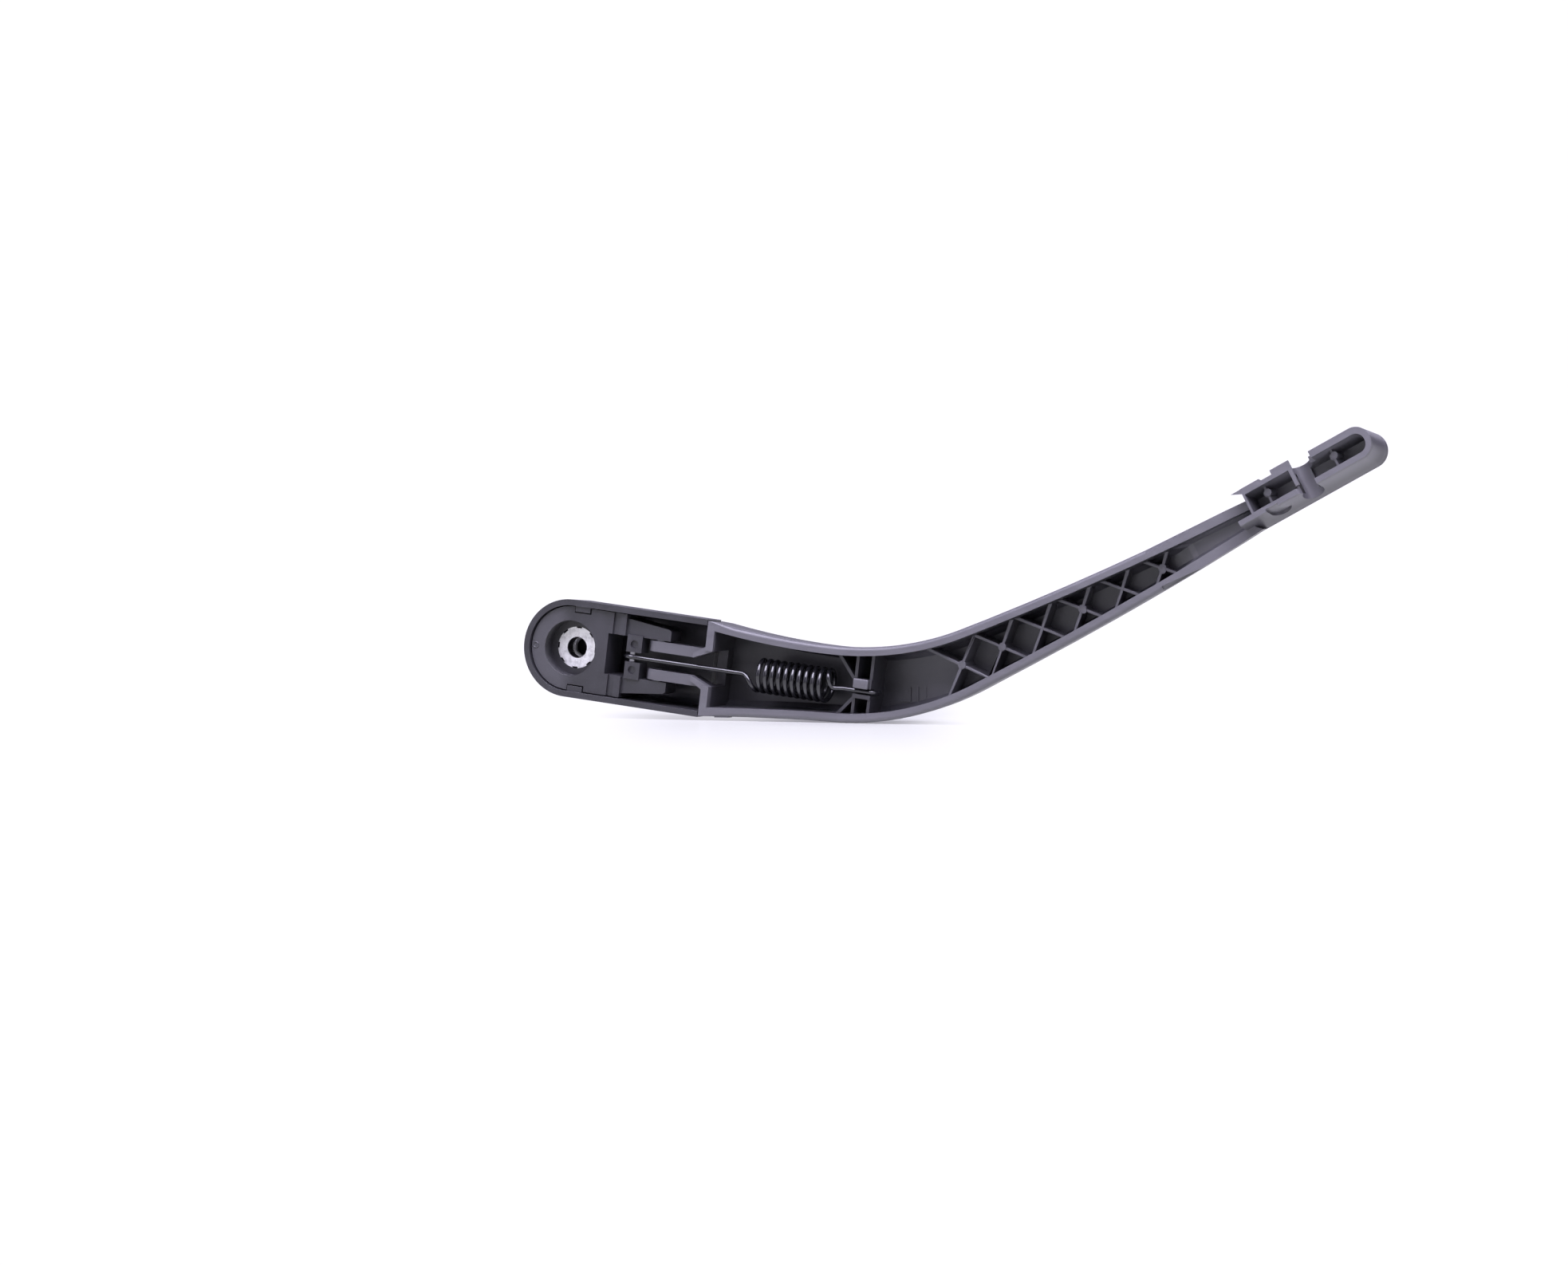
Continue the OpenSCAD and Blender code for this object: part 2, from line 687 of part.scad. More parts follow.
// Crescent notch in the skin of the lower wall beside the middle block
module hook_notch() {
    difference() {
        union() {
            bore(20.4, -1.2, 4.2, -20, 2);
            translate([16.2, -20, -20])
                cube([6.4, 18.8, 22]);
        }
        bore(24.4, -3.4, 3.4, -21, 3);
        carrier_hull(0, carrier_wall / 2);
    }
}
// The moulding's free-form body: channel, ribs, bracket and carrier as one shape at its own size
module moulding() {
    shoulder_r = seam_r + seam_gap;
    resize([0, 0, 0])
        union() {
            difference() {
                arm_outer();
                arm_cavity(0);
                at_carrier()
                    slab(-1, head_depth)
                        polygon([[wall_x + 2.6, -2.9], [wall_x + 7.6, -7.9], [wall_x + 30, -7.9], [wall_x + 30, 9],
                                 [block_x + 0.5, 9], [block_x + 0.5, -2.9]]);
                bore(hinge_x, hinge_y, shoulder_r, -40, 40);
                translate([-10, -5, -40])
                    cube([hinge_x + 10, 40, 80]);
                spring_gate();
            }
            intersection() {
                arm_cavity(arm_back / 2);
                union() {
                    cross_ribs();
                    bracket();
                }
            }
            at_carrier()
                carrier();
        }
}
module arm() {
    color(plastic)
        stand()
            difference() {
                union() {
                    moulding();
                    both_sides()
                        ear();
                    both_sides()
                        gusset();
                }
                bore(hinge_x, hinge_y, hinge_d / 2 + pin_clear, -head_r, head_r);
                // Slot of the bracket that the spring wire lies in
                translate([hook_x - 9, -1, -wire_r - 0.35])
                    cube([9.5, hook_y + wire_r + 1 + 1.3, wire_d + 0.7]);
                at_carrier()
                    bore(blade_pin_s, blade_pin_y, blade_pin_d / 2, -20, 20);
            }
}
// Opening in the shoulder between the ears that the spring passes through
module spring_gate() {
    translate([seam_x - 8, -1, -ear_out + 0.6])
        cube([16, hinge_y + ear_r + 6, 2 * ear_out - 1.2]);
}

head();
hub_insert();
cover_cap();
hinge_pins();
spring_pin();
tension_spring();
arm();
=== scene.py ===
"""Looks of the rear wiper arm: moulded black plastic, a cast insert, a wound spring and a white studio."""

import math

import bmesh
import bpy
from mathutils import Matrix, Vector


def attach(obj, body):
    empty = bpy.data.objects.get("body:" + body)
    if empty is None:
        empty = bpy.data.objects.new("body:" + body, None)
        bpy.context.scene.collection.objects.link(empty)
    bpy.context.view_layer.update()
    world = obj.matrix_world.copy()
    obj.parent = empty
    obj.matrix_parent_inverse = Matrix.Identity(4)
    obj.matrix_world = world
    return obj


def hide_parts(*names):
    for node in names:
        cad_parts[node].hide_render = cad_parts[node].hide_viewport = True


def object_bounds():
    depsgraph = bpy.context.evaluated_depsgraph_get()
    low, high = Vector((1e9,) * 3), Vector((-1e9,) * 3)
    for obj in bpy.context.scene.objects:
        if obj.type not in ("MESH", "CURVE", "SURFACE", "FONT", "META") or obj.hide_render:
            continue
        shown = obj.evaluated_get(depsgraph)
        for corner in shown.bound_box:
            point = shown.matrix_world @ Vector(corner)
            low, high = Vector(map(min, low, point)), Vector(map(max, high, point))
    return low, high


bl_info = {
    "name": "Rear Wiper Arm",
    "version": (1, 0, 0),
    "blender": (4, 5, 0),
    "location": "3D View > Sidebar > Wiper Arm",
    "description": "Dresses a rear wiper arm and sets up its studio",
    "category": "Object",
}

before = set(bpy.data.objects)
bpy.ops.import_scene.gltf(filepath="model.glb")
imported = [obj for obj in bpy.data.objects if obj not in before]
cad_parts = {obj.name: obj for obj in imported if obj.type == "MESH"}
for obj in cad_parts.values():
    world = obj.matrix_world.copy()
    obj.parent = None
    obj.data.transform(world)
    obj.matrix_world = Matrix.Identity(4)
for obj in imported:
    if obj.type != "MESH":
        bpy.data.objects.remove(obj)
CAD_BOX = [list(map(float, corner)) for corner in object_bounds()]

MM = 0.001

# Degrees that the head leans by, from the frame's X
HEAD_TILT = 7.0

# Levels along the frame's Y, from the mouth of the hub insert's bore and away from the glass: the rims of
# the arm and of its blade carrier, the crests of the crossed ribs, and just behind the head's plate
RIM_Y = -8.2 * MM
CARRIER_RIM_Y = -13.2 * MM
RIB_Y = -3.2 * MM
PLATE_Y = -6.5 * MM
# How far from a level a corner may stand and still count as on it
ON_LEVEL = 0.05 * MM

# Stretches along the frame's X where the painted sheen, highlights and bounce light ease in, or out where
# the second place comes before the first
EARS_OUT = (60 * MM, 58 * MM)
CAP_IN = (115 * MM, 116 * MM)
CAP_OUT = (127 * MM, 126 * MM)
BEND_IN = (125 * MM, 150 * MM)
BEND_OUT = (175 * MM, 155 * MM)
RIBS_IN = (145 * MM, 150 * MM)
SHALLOW_IN = (240 * MM, 262 * MM)
CARRIER_IN = (262 * MM, 275 * MM)
CARRIER_WALL_IN = (280 * MM, 288 * MM)

# Where the arm's outer rim is rounded, and where the crossed ribs start
ROUND_RIM_FROM, ROUND_RIM_TO = 62 * MM, 240 * MM
RIBS_FROM = 140 * MM

# The spindle's splines, in the hub insert's bore
BORE_RADIUS = 4.1 * MM
SPLINE_START = 0.3 * MM
SPLINE_LENGTH = 4.6 * MM

# Small moulded marks on the arm, each from its low to its high corner in millimetres. The cap on the
# spring's far hook stands along the head's own axes, and the others along the frame's
HOOK_CAP = ((117.4, -6.3, 1.0), (123.6, -4.9, 4.7))
SEAM_FOOT = ((60.6, -7.6, -25.5), (66.4, -4.0, -23.9))
TOOL_MARKS = (
    ((137.7, 7.0, -19.2), (138.3, 7.7, -13.2)),
    ((134.7, 7.1, -18.6), (135.1, 7.8, -13.4)),
    ((141.2, 6.9, -17.6), (141.6, 7.6, -13.2)),
    ((131.0, 7.2, -18.9), (134.9, 7.9, -18.5)),
)
# Bosses where ribs cross, and in the carrier's two pockets: each one's place and radius in millimetres
BOSSES = (
    ((160.6, -3.2, -4.5), 0.9),
    ((176.7, -3.2, 2.6), 1.0),
    ((208.7, -3.2, 16.9), 1.2),
    ((240.0, -3.2, 32.0), 1.2),
    ((283.6, -10.3, 61.4), 1.35),
    ((309.2, -10.3, 75.2), 1.35),
)

HEAD_PLASTIC = "Satin black plastic, head"
COVER_PLASTIC = "Satin black plastic, cover"
ARM_PLASTIC = "Satin black plastic, arm"

# Where the table's own shading shows, in metres: from under the head to the bend, and darker where the bend
# touches the table. Each pair eases in, or out where the second place comes before the first
SHADE_LEFT_IN, SHADE_RIGHT_OUT = (0.0, 0.045), (0.155, 0.12)
SHADE_FRONT_IN, SHADE_BACK_OUT = (-0.32, -0.02), (0.3, 0.05)
TOUCH_LEFT_IN, TOUCH_RIGHT_OUT = (0.06, 0.1), (0.15, 0.12)
TOUCH_FRONT_IN = (-0.05, -0.012)

# The studio's light is a little lavender, and the camera sees a brighter world than the one that lights
TINT = (1.0, 0.955, 1.2)
WORLD_LIGHT, WORLD_SEEN = 0.25, 1.06
# Each lamp's name, place, width and height in metres, and watts
LAMPS = (
    ("Top softbox", (0.2, -0.55, 0.95), 1.3, 0.8, 30.0),
    ("Left softbox", (-1.1, -0.9, 0.6), 0.7, 0.9, 2.2),
    ("Right softbox", (1.2, -0.5, 0.6), 0.8, 1.0, 4.0),
    ("Back softbox", (0.2, 1.2, 0.7), 1.2, 0.6, 3.2),
)
LAMPS_AIM = Vector((0.15, 0.0, 0.03))
FLOOR_SIZE = 14.0
FLOOR_MIDDLE = (0.15, 4.0)

# The photograph's size, its focal length and where the hub's middle stands in it, all in pixels
PHOTO_WIDTH, PHOTO_HEIGHT = 1966.0, 1586.0
FOCAL_PX = 9390.0
HUB_PX_X, HUB_PX_Y = 712.5, 812.5
CAMERA_AZIMUTH = math.radians(23.0)
CAMERA_ELEVATION = math.radians(2.0)
CAMERA_FAR = 2.864
SENSOR_WIDTH = 36.0


# Sizes and finishes


def length_property(name, description, default, low, high):
    """A length that the user may change, given in millimetres."""
    return bpy.props.FloatProperty(
        name=name,
        description=description,
        default=default * MM,
        min=low * MM,
        max=high * MM,
        precision=5,
        unit="LENGTH",
    )


def colour_property(name, description, default):
    """A colour that the user may change."""
    return bpy.props.FloatVectorProperty(
        name=name,
        description=description,
        subtype="COLOR",
        size=4,
        min=0.0,
        max=1.0,
        default=(*default, 1.0),
    )


class WiperSizes(bpy.types.PropertyGroup):
    """Sizes of the details that the looks add to the solids"""

    edge: length_property("Moulded edge", "Width of the mouldings' rounded edges", 0.25, 0.05, 0.4)
    wire: length_property("Spring wire", "Diameter of the spring wire", 1.8, 1.6, 2.1)
    spline_depth: length_property("Spline depth", "Height of a spline on the bore's wall", 0.28, 0.1, 0.4)
    splines: bpy.props.IntProperty(
        name="Spindle splines",
        description="Number of fine splines in the hub insert's bore",
        default=44,
        min=24,
        max=60,
    )


class WiperFinishes(bpy.types.PropertyGroup):
    """Colours of the finishes"""

    plastic: colour_property("Plastic", "Colour of the satin black plastic", (0.0205, 0.020, 0.0238))
    # The rim colour is painted light: the sheen on the arm's rims, the highlight on the head's plate and
    # the channel's floor, and the bounce light on the carrier's wall
    rim: colour_property("Rim", "Colour of the plastic where it is scuffed", (0.112, 0.110, 0.120))
    cast_metal: colour_property("Cast metal", "Colour of the bright cast hub insert", (0.93, 0.93, 0.935))
    steel: colour_property("Pin steel", "Colour of the steel pins", (0.42, 0.42, 0.44))
    wire: colour_property("Spring coat", "Colour of the spring wire's gloss coat", (0.008, 0.008, 0.0095))
    floor: colour_property("Floor", "Colour of the studio floor", (0.62, 0.64, 0.585))


# Materials


class Field:
    """A number that changes over a surface, used in Python expressions that add Math nodes."""

    def __init__(self, sheet, socket):
        self.sheet = sheet
        self.socket = socket

    def _math(self, operation, first, second):
        node = self.sheet.add("ShaderNodeMath", {"operation": operation}, {0: first, 1: second})
        return Field(self.sheet, node.outputs[0])

    def __add__(self, other):
        return self._math("ADD", self, other)

    __radd__ = __add__

    def __sub__(self, other):
        return self._math("SUBTRACT", self, other)

    def __rsub__(self, other):
        return self._math("SUBTRACT", other, self)

    def __mul__(self, other):
        return self._math("MULTIPLY", self, other)

    __rmul__ = __mul__

    def between(self, low, high):
        """This number eased from 0 to 1 as it goes from low to high."""
        values = {"Value": self, "From Min": low, "From Max": high}
        node = self.sheet.add("ShaderNodeMapRange", {"interpolation_type": "SMOOTHSTEP"}, values)
        return Field(self.sheet, node.outputs["Result"])

    def near(self, level, full, none):
        """1 down to the depth full behind a level, easing to 0 at the depth none."""
        return self.between(level + none, level + full)


class NodeSheet:
    """An emptied node tree, and the one method that adds every node to it."""

    def __init__(self, owner):
        owner.use_nodes = True
        self.owner = owner
        self.tree = owner.node_tree
        self.tree.nodes.clear()

    def add(self, kind, settings=None, values=None):
        """A node of this kind, with its settings made first and then its sockets' values or links."""
        node = self.tree.nodes.new(kind)
        for name, value in (settings or {}).items():
            setattr(node, name, value)
        for name, value in (values or {}).items():
            socket = node.inputs[name]
            if isinstance(value, Field):
                value = value.socket
            if isinstance(value, bpy.types.NodeSocket):
                self.tree.links.new(value, socket)
            else:
                socket.default_value = value
        return node


class Finish(NodeSheet):
    """A material on Object coordinates."""

    # Sockets of the Mix node for colours, whose names the node uses more than once
    MIX_FIRST, MIX_SECOND, MIX_RESULT = 6, 7, 2

    def __init__(self, name):
        super().__init__(bpy.data.materials.new(name))
        coordinates = self.add("ShaderNodeTexCoord")
        self.place = coordinates.outputs["Object"]
        self.direction = coordinates.outputs["Normal"]

    def part_of(self, vector, name):
        split = self.add("ShaderNodeSeparateXYZ", None, {0: vector})
        return Field(self, split.outputs[name])

    def axis(self, name):
        return self.part_of(self.place, name)

    def facing(self, name):
        return self.part_of(self.direction, name)

    def stretched(self, scale, turn=(0.0, 0.0, 0.0)):
        values = {"Vector": self.place, "Scale": scale, "Rotation": turn}
        return self.add("ShaderNodeMapping", None, values).outputs["Vector"]

    def noise(self, scale, detail=3.0, roughness=0.6, place=None):
        values = {"Vector": place or self.place, "Scale": scale, "Detail": detail, "Roughness": roughness}
        return Field(self, self.add("ShaderNodeTexNoise", None, values).outputs["Fac"])

    def mixed(self, factor, first, second):
        settings = {"data_type": "RGBA", "blend_type": "MIX"}
        values = {"Factor": factor, self.MIX_FIRST: first, self.MIX_SECOND: second}
        return self.add("ShaderNodeMix", settings, values).outputs[self.MIX_RESULT]

    def bump(self, height, strength, distance):
        values = {"Height": height, "Strength": strength, "Distance": distance}
        return self.add("ShaderNodeBump", None, values).outputs["Normal"]

    def surface(self, values):
        """The finished material, with one shader that has these values."""
        return self.shown(self.add("ShaderNodeBsdfPrincipled", None, values))

    def shown(self, shader):
        self.add("ShaderNodeOutputMaterial", None, {"Surface": shader.outputs[0]})
        return self.owner


def tone(colour, gain):
    return tuple(min(1.0, c * gain) for c in colour[:3]) + (1.0,)


class SatinPlastic(Finish):
    """Glass filled black plastic: a fine spark texture, flow lines along the head, clouds and specks."""

    def __init__(self, name, colour):
        super().__init__(name)
        clouds = self.noise(70.0, detail=4.0)
        along_head = self.stretched((0.18, 1.0, 1.0), (0.0, math.radians(-HEAD_TILT), 0.0))
        self.flow = self.noise(420.0, place=along_head)
        grain = self.noise(3800.0, detail=2.0, roughness=0.5)
        specks = self.noise(1500.0, detail=2.0, roughness=0.4).between(0.63, 0.72)
        self.base = self.mixed(clouds.between(0.3, 0.7), tone(colour, 0.8), tone(colour, 1.3))
        self.stain_or_paint_light(specks * 0.16, tone(colour, 3.4))
        self.roughness = 0.32 + 0.1 * clouds + 0.08 * self.flow
        self.height = 0.6 * grain + 0.4 * self.flow

    def stain_or_paint_light(self, amount, colour):
        """Mix a colour in, as far as the amount says: real specks, or painted light and shade."""
        self.base = self.mixed(amount, self.base, colour)

    def moulded(self):
        """The finished material."""
        return self.surface(
            {
                "Base Color": self.base,
                "Roughness": self.roughness,
                "IOR": 1.66,
                "Normal": self.bump(self.height, 0.35, 0.04 * MM),
            }
        )


def head_plastic(colour, painted_highlight):
    """The head's plate is painted paler at its round end as a painted highlight, and its recess is painted
    darker as painted shade.
    """
    f = SatinPlastic(HEAD_PLASTIC, colour)
    along, depth, up = f.axis("X"), f.axis("Y"), f.axis("Z")
    # Painted highlight: the plate is painted paler towards its round end
    plate = along.between(2 * MM, -6 * MM) * depth.between(PLATE_Y + 0.2 * MM, PLATE_Y)
    from_hub_squared = along * along + up * up
    # Painted shade: the recess round the hub is painted darker
    recess = from_hub_squared.between(130 * MM * MM, 100 * MM * MM)
    recess = recess * depth.between(PLATE_Y, PLATE_Y + 0.4 * MM)
    f.stain_or_paint_light(plate * 0.3, painted_highlight)
    f.stain_or_paint_light(recess * 0.6, tone(colour, 0.35))
    return f.moulded()


def cover_plastic(colour):
    """The cover is clean."""
    return SatinPlastic(COVER_PLASTIC, colour).moulded()


def arm_plastic(colour, painted_lighter):
    """Painted light makes the arm paler: a painted sheen on its rims and rib crests, a painted highlight on
    the channel's floor, and painted bounce light on the carrier's lower wall.
    """
    f = SatinPlastic(ARM_PLASTIC, colour)
    along, depth = f.axis("X"), f.axis("Y")

    carrier = along.between(*CARRIER_IN)
    # Painted sheen: the rims are painted paler where they catch the light
    rim = depth.near(RIM_Y, 1.2 * MM, 2.4 * MM) * (1.0 - carrier)
    rim = rim + depth.near(CARRIER_RIM_Y, 0.5 * MM, 1.3 * MM) * carrier
    # The ears and the cap on the bracket stand just under the rim, and get nearly as pale a painted
    # highlight
    ears = along.between(*EARS_OUT) * depth.near(RIM_Y, 3.2 * MM, 3.6 * MM)
    cap = along.between(*CAP_IN) * depth.near(RIM_Y, 2.5 * MM, 2.9 * MM)
    rim = rim + (1.0 - rim) * (ears + cap * along.between(*CAP_OUT)) * 0.8
    # The rib crests get a fainter painted sheen
    ribs = depth.between(RIB_Y - 0.8 * MM, RIB_Y - 0.5 * MM) * depth.near(RIB_Y, 0.1 * MM, 0.5 * MM)
    rim = rim + (1.0 - rim) * ribs * along.between(*RIBS_IN) * 0.7
    rim = rim * (0.55 + 0.45 * f.flow)
    f.stain_or_paint_light(rim, painted_lighter)

    # Painted highlight on the channel's floor at the bend and in its shallow part
    floor = along.between(*BEND_IN) * along.between(*BEND_OUT) + along.between(*SHALLOW_IN)
    f.stain_or_paint_light((1.0 - rim) * floor * 0.45, painted_lighter)
    # Painted bounce light from the white table on the carrier's lower, downward facing wall
    facing_down = f.facing("Z").between(0.1, -0.4)
    wall = facing_down * depth.near(CARRIER_RIM_Y, 2.0 * MM, 9.0 * MM) * along.between(*CARRIER_WALL_IN)
    f.stain_or_paint_light((1.0 - rim) * wall * 0.8, tone(painted_lighter, 1.3))
    f.roughness = f.roughness + 0.06 * rim
    return f.moulded()


def cast_metal(name, colour):
    """Bright die cast metal with a pitted skin and grey patches."""
    f = Finish(name)
    patches = f.noise(420.0, detail=4.0, roughness=0.65)
    pits = f.noise(2600.0, detail=2.0, roughness=0.5)
    return f.surface(
        {
            "Base Color": f.mixed(patches.between(0.3, 0.6), tone(colour, 0.75), tone(colour, 1.25)),
            "Metallic": 1.0,
            "Roughness": 0.4 + 0.2 * patches,
            "Normal": f.bump(0.6 * patches + 0.4 * pits, 0.5, 0.12 * MM),
        }
    )


def ground_steel(name, colour, stretch):
    """Ground steel with fine lines, drawn out along the axis where the stretch is least."""
    f = Finish(name)
    lines = f.noise(900.0, place=f.stretched(stretch))
    tint = f.noise(300.0, detail=2.0, roughness=0.5)
    return f.surface(
        {
            "Base Color": f.mixed(tint, tone(colour, 0.75), tone(colour, 1.2)),
            "Metallic": 1.0,
            "Roughness": 0.25 + 0.25 * lines,
            "Normal": f.bump(lines, 0.3, 0.03 * MM),
        }
    )


def coated_wire(name, colour):
    """Gloss black coat on drawn wire, a little uneven and dusty."""
    f = Finish(name)
    uneven = f.noise(600.0)
    dust = f.noise(2400.0, detail=2.0, roughness=0.5).between(0.6, 0.75)
    return f.surface(
        {
            "Base Color": f.mixed(dust * 0.08, colour, tone(colour, 4.0)),
            "Roughness": 0.18 + 0.05 * uneven + 0.06 * dust,
            "IOR": 1.7,
            "Normal": f.bump(uneven, 0.2, 0.004 * MM),
        }
    )


def studio_floor(name, colour):
    """White table: as white as the background, with its own shading let through under the part."""
    f = Finish(name)
    values = {"Base Color": colour, "Roughness": 0.22, "IOR": 1.45}
    table = f.add("ShaderNodeBsdfPrincipled", None, values)
    white = f.add("ShaderNodeEmission", None, {"Color": (1.0, 0.985, 1.06, 1.0), "Strength": 1.04})
    path = f.add("ShaderNodeLightPath")
    seen = Field(f, path.outputs["Is Camera Ray"])
    mirrored = Field(f, path.outputs["Is Glossy Ray"]) + Field(f, path.outputs["Is Transmission Ray"])
    along, away = f.axis("X"), f.axis("Y")
    # The shaded place runs back at 23 degrees to the frame's Y
    across = along * 0.92 + away * 0.39
    shade = across.between(*SHADE_LEFT_IN) * across.between(*SHADE_RIGHT_OUT)
    shade = shade * away.between(*SHADE_FRONT_IN) * away.between(*SHADE_BACK_OUT)
    touch = along.between(*TOUCH_LEFT_IN) * along.between(*TOUCH_RIGHT_OUT) * away.between(*TOUCH_FRONT_IN)
    white_share = (seen + mirrored) * (1.0 - 0.5 * shade) * (1.0 - 0.6 * touch * shade)
    values = {0: white_share, 1: table.outputs[0], 2: white.outputs[0]}
    return f.shown(f.add("ShaderNodeMixShader", None, values))


def studio_world(name):
    """An even world, seen brighter than it lights."""
    sheet = NodeSheet(bpy.data.worlds.new(name))
    path = sheet.add("ShaderNodeLightPath")
    rays = {0: path.outputs["Is Camera Ray"], 1: path.outputs["Is Transmission Ray"]}
    seen = sheet.add("ShaderNodeMath", {"operation": "MAXIMUM"}, rays)
    values = {"Value": seen.outputs[0], "To Min": WORLD_LIGHT, "To Max": WORLD_SEEN}
    strength = sheet.add("ShaderNodeMapRange", None, values)
    values = {"Color": (*TINT, 1.0), "Strength": strength.outputs["Result"]}
    background = sheet.add("ShaderNodeBackground", None, values)
    sheet.add("ShaderNodeOutputWorld", None, {"Surface": background.outputs[0]})
    return sheet.owner


# Shapes


def finished(name, bm, material, body, nodes=()):
    """A piece made from a bmesh, with its material, its CAD body and the CAD nodes it stands for."""
    if not bm.faces:
        raise RuntimeError("the piece " + name + " has no faces")
    mesh = bpy.data.meshes.new(name)
    bm.to_mesh(mesh)
    bm.free()
    mesh.materials.append(material)
    piece = bpy.data.objects.new(name, mesh)
    bpy.context.scene.collection.objects.link(piece)
    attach(piece, body)
    if nodes:
        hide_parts(*nodes)
    return piece


def weighted(piece):
    """Shading that keeps broad faces flat beside their rounded edges."""
    modifier = piece.modifiers.new("Broad faces stay flat", "WEIGHTED_NORMAL")
    modifier.keep_sharp = True
    modifier.weight = 60


def merged_copy(node):
    """A merged copy of a CAD node's mesh, with the triangles of each flat face joined."""
    bm = bmesh.new()
    bm.from_mesh(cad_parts[node].data)
    apart, bent = 0.002 * MM, math.radians(0.6)
    bmesh.ops.remove_doubles(bm, verts=bm.verts, dist=apart)
    bmesh.ops.dissolve_degenerate(bm, dist=apart, edges=bm.edges)
    bmesh.ops.dissolve_limit(bm, angle_limit=bent, verts=bm.verts, edges=bm.edges)
    return bm


def bevelled(bm, edges, width, segments, clamp):
    bmesh.ops.bevel(
        bm,
        geom=edges,
        offset=width,
        offset_type="OFFSET",
        affect="EDGES",
        segments=segments,
        profile=0.5,
        material=-1,
        clamp_overlap=clamp,
        loop_slide=True,
    )
    bm.verts.index_update()


def is_corner(edge, angle):
    """Whether two faces meet at this edge by more than an angle in degrees."""
    return len(edge.link_faces) == 2 and edge.calc_face_angle(0.0) > math.radians(angle)


def round_edges(bm, width, angle=35.0):
    """Round the edges sharper than angle that have room for the width, then finely those that have less."""
    widths_needed = 2.4
    for share, segments in ((1.0, 3), (0.35, 2)):
        room = widths_needed * share * width
        roomy = {v.index for v in bm.verts if all(e.calc_length() > room for e in v.link_edges)}
        edges = [e for e in bm.edges if is_corner(e, angle) and all(v.index in roomy for v in e.verts)]
        if edges:
            bevelled(bm, edges, share * width, segments, True)
    smooth_by_angle(bm, 40.0)


def round_outer_rim(bm, width):
    """Round the edge where the arm's glass side rim turns to its outer wall."""
    faces_glass, upright = -0.95, 0.6
    beside, beyond = 8 * MM, 0.6 * MM
    level = [v for v in bm.verts if abs(v.co.y - RIM_Y) < ON_LEVEL]
    rim = {v.index for v in level}
    outer = []
    for edge in bm.edges:
        if len(edge.link_faces) != 2 or not all(v.index in rim for v in edge.verts):
            continue
        top, wall = sorted(edge.link_faces, key=lambda face: face.normal.y)
        if top.normal.y > faces_glass or abs(wall.normal.y) > upright:
            continue
        middle = (edge.verts[0].co + edge.verts[1].co) / 2
        if not ROUND_RIM_FROM < middle.x < ROUND_RIM_TO:
            continue
        # An outer edge has none of the rim beyond it, in the slice of the arm beside it
        out = Vector((wall.normal.x, 0.0, wall.normal.z)).normalized()
        side = Vector((-out.z, 0.0, out.x))
        steps = (v.co - middle for v in level)
        if max(step.dot(out) for step in steps if abs(step.dot(side)) < beside) < beyond:
            outer.append(edge)
    if not outer:
        raise RuntimeError("the arm's outer rim was not found")
    bevelled(bm, outer, width, 4, False)


def round_ribs(bm, width):
    """Round the crests of the crossed ribs."""

    def on_crest(vert):
        return abs(vert.co.y - RIB_Y) < ON_LEVEL and vert.co.x > RIBS_FROM

    crests = [e for e in bm.edges if is_corner(e, 60.0) and all(on_crest(v) for v in e.verts)]
    bevelled(bm, crests, width, 3, False)


def smooth_by_angle(bm, angle):
    for face in bm.faces:
        face.smooth = True
    for edge in bm.edges:
        edge.smooth = len(edge.link_faces) != 2 or edge.calc_face_angle(0.0) < math.radians(angle)


def head_turn():
    return Matrix.Rotation(math.radians(HEAD_TILT), 3, "Y")


def head_place(x, depth, across):
    """A place given in millimetres along, into and across the head, in the frame."""
    return head_turn() @ Vector((x, depth, across)) * MM + Vector((0.0, RIM_Y, 0.0))


def block(bm, low, high, turn=None):
    """Add a block between two corners given in millimetres, turned if asked."""
    low, high = Vector(low) * MM, Vector(high) * MM
    verts = bmesh.ops.create_cube(bm, size=1.0)["verts"]
    bmesh.ops.scale(bm, vec=high - low, verts=verts)
    bmesh.ops.translate(bm, vec=(low + high) / 2, verts=verts)
    if turn:
        bmesh.ops.rotate(bm, verts=verts, matrix=turn)


def boss(bm, place, radius):
    """Add a low round boss that faces the glass, its place and radius given in millimetres."""
    facing_glass = Matrix.Rotation(math.radians(90), 4, "X")
    bmesh.ops.create_cone(
        bm,
        cap_ends=True,
        segments=24,
        radius1=radius * MM,
        radius2=radius * MM,
        depth=0.7 * MM,
        matrix=Matrix.Translation(Vector(place) * MM) @ facing_glass,
    )


def tube(path, radius, sides=16):
    """A bmesh tube of round wire along a list of places."""
    curve = bpy.data.curves.new("wire path", "CURVE")
    curve.dimensions = "3D"
    curve.bevel_depth = radius
    curve.bevel_resolution = sides // 4
    curve.use_fill_caps = True
    spline = curve.splines.new("POLY")
    spline.points.add(len(path) - 1)
    for point, place in zip(spline.points, path):
        point.co = (*place, 1.0)
    holder = bpy.data.objects.new("wire path", curve)
    mesh = bpy.data.meshes.new_from_object(holder)
    bm = bmesh.new()
    bm.from_mesh(mesh)
    bpy.data.objects.remove(holder)
    bpy.data.curves.remove(curve)
    bpy.data.meshes.remove(mesh)
    bmesh.ops.remove_doubles(bm, verts=bm.verts, dist=0.001 * MM)
    bmesh.ops.recalc_face_normals(bm, faces=bm.faces)
    smooth_by_angle(bm, 60.0)
    return bm


